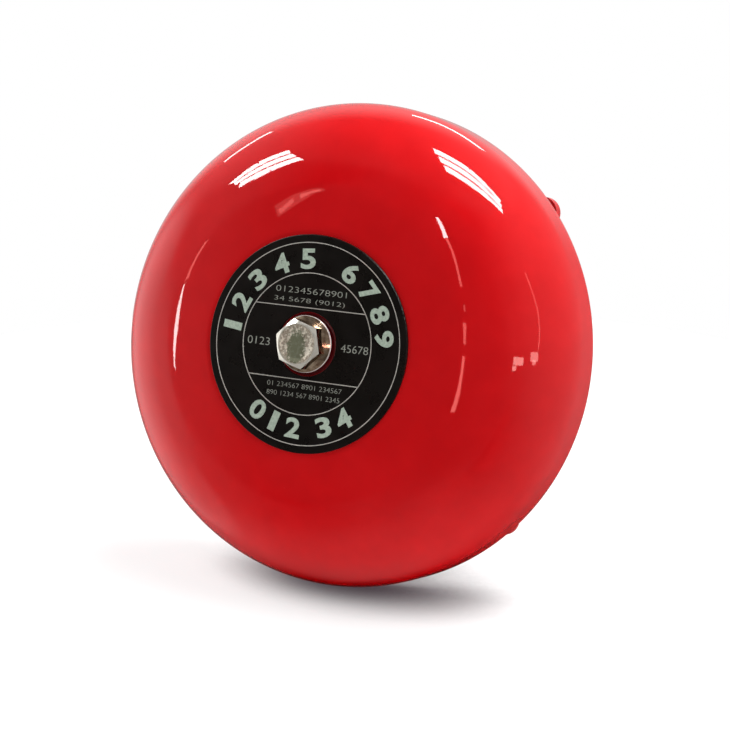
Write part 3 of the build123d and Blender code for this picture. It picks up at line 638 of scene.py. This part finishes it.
# Red enamel on the die casting: the same red, with the casting's skin showing under a softer gloss
def castingEnamel(tree):
    size = {"mottle": 12, "skin": 0.9, "skinHeight": 0.012, "peel": 2.6, "peelHeight": 0.01, "dust": 3.2,
            "speck": 0.3, "smudge": 9}
    return {"Base Color": layColours(tree, "#BE1116", (grain(tree, size["mottle"], 0, 1), "#C9161B"),
                                     (grain(tree, size["peel"], 0, 0.3), "#A00E14"),
                                     (specks(tree, size["dust"], size["speck"], 0.35), "#D9A49C")),
            "Roughness": grain(tree, size["smudge"], 0.16, 0.3),
            "Normal": relief(tree, (grain(tree, size["peel"], 0, 1), size["peelHeight"]),
                             (grain(tree, size["skin"], 0, 1, detail=2.0), size["skinHeight"])),
            "IOR": 1.5}


# Black print on an aluminium disc: satin black with a warm cast, and the metal's fine grain under it
def dialPrint(tree):
    size = {"cloud": 7, "grain": 0.35, "grainHeight": 0.003, "speck": 0.14, "spacing": 2.6, "wear": 4}
    return {"Base Color": layColours(tree, "#0F0C09", (grain(tree, size["cloud"], 0, 1), "#14100D"),
                                     (specks(tree, size["spacing"], size["speck"], 0.4), "#7C776C")),
            "Roughness": grain(tree, size["wear"], 0.26, 0.34),
            "Normal": relief(tree, (grain(tree, size["grain"], 0, 1, detail=2.0), size["grainHeight"])),
            "IOR": 1.5, "Specular IOR Level": 0.2}


# Screen-printed ink: pale, matt and a little uneven where the screen's mesh pressed it through. The mesh is
# drawn at 0.16 mm, coarser than a real one, so that it shows
def screenInk(tree, thick, thin):
    size = {"cover": 0.7, "screen": 0.16, "height": 0.004}
    return {"Base Color": layColours(tree, thick, (grain(tree, size["cover"], 0, 1), thin)),
            "Roughness": grain(tree, size["cover"], 0.42, 0.58),
            "Normal": relief(tree, (grain(tree, size["screen"], 0, 1), size["height"])),
            "IOR": 1.5}


# Bright nickel plate: warm white metal, a mirror on the flange, with a mottled brown as a painted
# reflection of the room, a pale pink painted highlight on the flange's edge, a near-white painted highlight
# on the top of the head round its face, and a frosted head with a greenish grey oval in its middle between
# bright worn blotches
def nickelPlate(tree):
    size = {"cast": 1.6, "haze": 1.4, "ring": 0.22, "ringHeight": 0.0012, "pit": 0.5, "pitSpacing": 1.7,
            "pitDepth": 0.004, "dent": 2.2, "dentHeight": 0.012, "crown": 0.9, "face": 0.3, "proud": 0.1,
            "faceRadius": 6.0, "faceEdge": 0.3, "rim": 8.3, "rimEdge": 0.15, "frost": 0.3, "blotch": 0.9,
            "wornFrom": 5.2, "wornTo": 5.8, "ovalWide": 2.9, "ovalTall": 5.2, "ovalLow": 1.2, "ragged": 0.7}
    headTop = -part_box("gong_bolt")[0].y / mm
    top = headTop + size["proud"]
    crown = band(tree, "Y", headTop - size["crown"], top)
    face = addNode(tree, "ShaderNodeMath", {
        0: band(tree, "Y", headTop - size["face"], top),
        1: nearAxis(tree, size["faceRadius"] - size["faceEdge"], size["faceRadius"])}, operation="MULTIPLY")
    rim = addNode(tree, "ShaderNodeMath", {
        0: 1.0, 1: nearAxis(tree, size["rim"], size["rim"] + size["rimEdge"])}, operation="SUBTRACT")
    oval = addNode(tree, "ShaderNodeVectorMath", {
        0: (tree.nodes["place"], "Object"), 1: (1 / size["ovalWide"] / mm, 0, 1 / size["ovalTall"] / mm),
        2: (0, 0, size["ovalLow"] / size["ovalTall"])}, operation="MULTIPLY_ADD")
    reach = addNode(tree, "ShaderNodeVectorMath", {0: oval}, operation="LENGTH")
    ragged = addNode(tree, "ShaderNodeMath", {
        0: (reach, "Value"), 1: grain(tree, size["ragged"], -0.25, 0.25)}, operation="ADD")
    greyOval = addNode(tree, "ShaderNodeMapRange", {"Value": ragged, "From Min": 0.8, "From Max": 1.15,
                                                "To Min": 0.92, "To Max": 0.0})
    worn = addNode(tree, "ShaderNodeMath", {0: grain(tree, size["blotch"], 0, 0.9, reach=(0.5, 0.58)),
                                            1: nearAxis(tree, size["wornFrom"], size["wornTo"])},
                   operation="MULTIPLY")
    frosted = layColours(tree, "#BCAF9C", (grain(tree, size["frost"], 0, 1), "#8A8070"), (worn, "#E9E2D0"),
                         (greyOval, "#6B7056"))
    soft = addNode(tree, "ShaderNodeMath", {0: face, 1: rim}, operation="MAXIMUM")
    bare = addNode(tree, "ShaderNodeMix", {"Factor": crown, "A": 1.0, "B": 0.62})
    # Painted light: the crown's near-white and the rim's pale pink are painted highlights, and the brown
    # grain is a painted reflection of the room
    return {"Base Color": layColours(tree, "#CDB59B", (grain(tree, size["cast"], 0, 1), "#8F6F56"),
                                     (crown, "#F4EFE2"), (face, frosted), (rim, "#FFEDE8")),
            "Metallic": addNode(tree, "ShaderNodeMix", {"Factor": soft, "A": bare, "B": 0.3}),
            "Roughness": addNode(tree, "ShaderNodeMix", {
                "Factor": face, "A": grain(tree, size["haze"], 0.10, 0.22), "B": 0.45}),
            "Normal": relief(tree, (grain(tree, size["dent"], 0, 1, detail=1.0), size["dentHeight"]),
                             (ridges(tree, size["ring"], about="Y"), size["ringHeight"]),
                             (specks(tree, size["pitSpacing"], size["pit"]), -size["pitDepth"]))}


# Bright zinc plate: cool grey metal with the faint yellow and blue of its passivation, a fine crystal grain
# and light scratches
def zincPlate(tree):
    size = {"bloom": 5, "crystal": 0.5, "crystalHeight": 0.003, "scratch": 0.3, "scratchHeight": 0.0015,
            "haze": 1.6}
    return {"Base Color": layColours(tree, "#B4B9BF", (grain(tree, size["bloom"], 0, 1), "#C6C2AE"),
                                     (grain(tree, size["bloom"] / 2, 0, 0.5, reach=(0.5, 0.7)),
                                      "#A7AFC4")),
            "Roughness": grain(tree, size["haze"], 0.28, 0.46),
            "Normal": relief(tree, (grain(tree, size["crystal"], 0, 1), size["crystalHeight"]),
                             (grain(tree, size["scratch"], 0, 1, stretch=(1, 1, 0.04)),
                              size["scratchHeight"])),
            "Metallic": 1.0}


# Turned steel: plain grey metal with the lathe's marks and a thin film of oil. The marks are drawn 0.2 mm
# apart, coarser than real ones, so that they show
def turnedSteel(tree):
    size = {"ring": 0.2, "ringHeight": 0.004, "stain": 4, "haze": 1.2}
    return {"Base Color": layColours(tree, "#B5B2AC", (grain(tree, size["stain"], 0, 1), "#9C9890")),
            "Roughness": grain(tree, size["haze"], 0.2, 0.36),
            "Normal": relief(tree, (ridges(tree, size["ring"]), size["ringHeight"])),
            "Metallic": 1.0, "Coat Weight": 0.15, "Coat Roughness": 0.2}


# Hard drawn spring steel: darker and smoother, with the die's fine marks and a brown heat tint
def springSteel(tree):
    size = {"heat": 3, "draw": 0.12, "drawHeight": 0.002, "haze": 0.9}
    return {"Base Color": layColours(tree, "#8E8B88", (grain(tree, size["heat"], 0, 1), "#7D7266")),
            "Roughness": grain(tree, size["haze"], 0.22, 0.38),
            "Normal": relief(tree, (grain(tree, size["draw"], 0, 1), size["drawHeight"])),
            "Metallic": 1.0}


# Brass: a yellow metal that handling has dulled brown in patches, with a lathe's marks drawn coarse as well
def turnedBrass(tree):
    size = {"tarnish": 2.4, "ring": 0.24, "ringHeight": 0.003, "pit": 0.25, "pitSpacing": 2.0, "haze": 1.3}
    return {"Base Color": layColours(tree, "#D4B06A", (grain(tree, size["tarnish"], 0, 1), "#BE9650"),
                                     (grain(tree, size["tarnish"] / 3, 0, 0.6, reach=(0.55, 0.75)),
                                      "#7C5A2C")),
            "Roughness": grain(tree, size["haze"], 0.2, 0.4),
            "Normal": relief(tree, (ridges(tree, size["ring"]), size["ringHeight"]),
                             (specks(tree, size["pitSpacing"], size["pit"]), -size["ringHeight"])),
            "Metallic": 1.0}


# Enamelled copper wire, wound: rows of fine round wires under a shiny brown varnish
def copperWinding(tree):
    size = {"wire": 0.35, "wireHeight": 0.09, "varnish": 2, "haze": 0.8}
    return {"Base Color": layColours(tree, "#B8602F", (grain(tree, size["varnish"], 0, 1), "#8E431C")),
            "Roughness": grain(tree, size["haze"], 0.25, 0.4),
            "Normal": relief(tree, (ridges(tree, size["wire"], waver=1.5), size["wireHeight"])),
            "Metallic": 0.9, "Coat Weight": 0.6, "Coat Roughness": 0.15}


# Sintered ferrite: a matt charcoal ceramic with open pores and chipped grains
def sinteredFerrite(tree):
    size = {"cloud": 0.6, "smudge": 1.0, "grain": 0.3, "height": 0.02, "pore": 0.3, "poreSpacing": 1.2}
    return {"Base Color": layColours(tree, "#2C2B2B", (grain(tree, size["cloud"], 0, 1), "#3A3838")),
            "Roughness": grain(tree, size["smudge"], 0.55, 0.75),
            "Normal": relief(tree, (grain(tree, size["grain"], 0, 1), size["height"]),
                             (specks(tree, size["poreSpacing"], size["pore"]), -size["height"])),
            "IOR": 1.9}


# Moulded rubber: matt black with grey dust in the mould's fine texture
def mouldedRubber(tree):
    size = {"cloud": 4, "dust": 1.5, "smudge": 2, "texture": 0.35, "height": 0.01}
    return {"Base Color": layColours(tree, "#161615", (grain(tree, size["cloud"], 0, 1), "#222120"),
                                     (grain(tree, size["dust"], 0, 0.5, reach=(0.55, 0.75)), "#4B4742")),
            "Roughness": grain(tree, size["smudge"], 0.6, 0.82),
            "Normal": relief(tree, (grain(tree, size["texture"], 0, 1), size["height"])),
            "IOR": 1.52}


# Moulded ABS: satin black with an even spark texture and slight sinks, polished a little where it is handled
def mouldedAbs(tree):
    size = {"cloud": 14, "speck": 0.2, "spacing": 2.8, "handling": 8, "spark": 0.5, "sparkHeight": 0.012,
            "sink": 18, "sinkHeight": 0.05}
    return {"Base Color": layColours(tree, "#17181A", (grain(tree, size["cloud"], 0, 1), "#1E1F21"),
                                     (specks(tree, size["spacing"], size["speck"]), "#55544F")),
            "Roughness": grain(tree, size["handling"], 0.36, 0.52),
            "Normal": relief(tree, (grain(tree, size["spark"], 0, 1, detail=2.0), size["sparkHeight"]),
                             (grain(tree, size["sink"], 0, 1, detail=1.0), size["sinkHeight"])),
            "IOR": 1.53}


# Acetal: a dense milky plastic that light enters a little, with faint machined lines
def whiteAcetal(tree):
    size = {"cloud": 5, "smudge": 1.8, "grain": 0.6, "grainHeight": 0.004, "line": 0.5, "lineHeight": 0.002}
    return {"Base Color": layColours(tree, "#EBE9E1", (grain(tree, size["cloud"], 0, 1), "#DEDBD0")),
            "Roughness": grain(tree, size["smudge"], 0.28, 0.42),
            "Normal": relief(tree, (grain(tree, size["grain"], 0, 1), size["grainHeight"]),
                             (ridges(tree, size["line"]), size["lineHeight"])),
            "IOR": 1.48, "Subsurface Weight": 0.3, "Subsurface Radius": (1.0, 0.9, 0.8),
            "Subsurface Scale": 0.8 * mm}


# Circuit board: green solder mask, with the copper tracks showing through as paler raised lines
def circuitBoard(tree):
    size = {"weave": 0.5, "weaveHeight": 0.006, "track": 3.2, "trackHeight": 0.04, "smudge": 2}
    cells = addNode(tree, "ShaderNodeTexVoronoi", {"Vector": (tree.nodes["place"], "Object"),
                                                   "Scale": 1 / (size["track"] * mm), "Randomness": 0.35},
                    distance="MANHATTAN", feature="F1")
    tracks = addNode(tree, "ShaderNodeMapRange", {"Value": cells, "From Min": 0.42, "From Max": 0.47})
    return {"Base Color": layColours(tree, "#0E4D2C", (grain(tree, size["weave"], 0, 1), "#115733"),
                                     (tracks, "#1E7443")),
            "Roughness": grain(tree, size["smudge"], 0.22, 0.38),
            "Normal": relief(tree, (tracks, size["trackHeight"]),
                             (grain(tree, size["weave"], 0, 1), size["weaveHeight"])),
            "IOR": 1.5}


# Nylon terminal block: a plain green plastic with a dry satin skin
def terminalNylon(tree):
    size = {"cloud": 3, "smudge": 1.5, "skin": 0.4, "skinHeight": 0.008}
    return {"Base Color": layColours(tree, "#2B8A4B", (grain(tree, size["cloud"], 0, 1), "#237A41")),
            "Roughness": grain(tree, size["smudge"], 0.35, 0.5),
            "Normal": relief(tree, (grain(tree, size["skin"], 0, 1), size["skinHeight"])),
            "IOR": 1.53}


# Capacitor: a shrunk plastic sleeve, deep blue with a pale stripe across its middle
def capacitorSleeve(tree):
    size = {"stripe": 1.8, "cloud": 2, "smudge": 1.5, "shrink": 1.2, "shrinkHeight": 0.03}
    low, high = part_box("capacitor")
    middle = (low.x + high.x) / 2 / mm
    stripe = band(tree, "X", middle - size["stripe"] / 2, middle + size["stripe"] / 2)
    return {"Base Color": layColours(tree, "#15264A", (grain(tree, size["cloud"], 0, 1), "#1B3058"),
                                     (stripe, "#AEB6BC")),
            "Roughness": grain(tree, size["smudge"], 0.22, 0.36),
            "Normal": relief(tree, (grain(tree, size["shrink"], 0, 1), size["shrinkHeight"])),
            "IOR": 1.54}


# Diodes: matt black epoxy with the silver band that marks the cathode
def diodeEpoxy(tree):
    size = {"markFrom": 2.9, "markTo": 1.9, "cloud": 1, "smudge": 0.7, "grain": 0.25, "height": 0.01}
    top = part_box("diodes")[1].z / mm
    mark = band(tree, "Z", top - size["markFrom"], top - size["markTo"])
    return {"Base Color": layColours(tree, "#151517", (grain(tree, size["cloud"], 0, 1), "#202022"),
                                     (mark, "#B9BBBD")),
            "Roughness": grain(tree, size["smudge"], 0.42, 0.6),
            "Normal": relief(tree, (grain(tree, size["grain"], 0, 1), size["height"])),
            "IOR": 1.55}


# Wire insulation: soft extruded plastic with a satin skin and slight waves along the wire
def wireInsulation(tree, fresh, worn):
    size = {"cloud": 2, "smudge": 1.2, "wave": 1.1, "waveHeight": 0.03, "skin": 0.2, "skinHeight": 0.004}
    return {"Base Color": layColours(tree, fresh, (grain(tree, size["cloud"], 0, 1), worn)),
            "Roughness": grain(tree, size["smudge"], 0.32, 0.48),
            "Normal": relief(tree, (grain(tree, size["wave"], 0, 1), size["waveHeight"]),
                             (grain(tree, size["skin"], 0, 1), size["skinHeight"])),
            "IOR": 1.54}


finishes = {
    "gong_enamel": makeFinish("RedGongEnamel", gongEnamel),
    "base_enamel": makeFinish("RedCastingEnamel", castingEnamel),
    "dial_black": makeFinish("BlackDialPrint", dialPrint),
    "bright_nickel": makeFinish("BrightNickel", nickelPlate),
    "zinc_steel": makeFinish("ZincPlatedSteel", zincPlate),
    "turned_steel": makeFinish("TurnedSteel", turnedSteel),
    "spring_steel": makeFinish("SpringSteel", springSteel),
    "brass": makeFinish("Brass", turnedBrass),
    "copper_winding": makeFinish("CopperWinding", copperWinding),
    "ferrite": makeFinish("Ferrite", sinteredFerrite),
    "black_rubber": makeFinish("BlackRubber", mouldedRubber),
    "black_abs": makeFinish("BlackAbs", mouldedAbs),
    "white_acetal": makeFinish("WhiteAcetal", whiteAcetal),
    "green_board": makeFinish("GreenCircuitBoard", circuitBoard),
    "green_terminal": makeFinish("GreenTerminalNylon", terminalNylon),
    "capacitor_sleeve": makeFinish("CapacitorSleeve", capacitorSleeve),
    "diode_black": makeFinish("DiodeEpoxy", diodeEpoxy),
    "red_wire": makeFinish("RedWire", wireInsulation, "#B5141B", "#9C1016"),
    "black_wire": makeFinish("BlackWire", wireInsulation, "#191919", "#262524"),
}
inks = {
    "letter": makeFinish("PaleGreenInk", screenInk, "#B7C6B5", "#9FB09F"),
    "line": makeFinish("SilverInk", screenInk, "#C4C0B8", "#ABA79F"),
    "small": makeFinish("GreyInk", screenInk, "#A5A89D", "#8B8E84"),
}

for name, node in nodes.items():
    node.data.materials.clear()
    node.data.materials.append(finishes[slotOf[name]])

for piece in [thing for thing in scene.objects if thing.type == "MESH" and "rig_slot" in thing]:
    piece.data.materials.clear()
    piece.data.materials.append(inks[piece["ink"]] if "ink" in piece else finishes[piece["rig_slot"]])
print("finishes laid on")
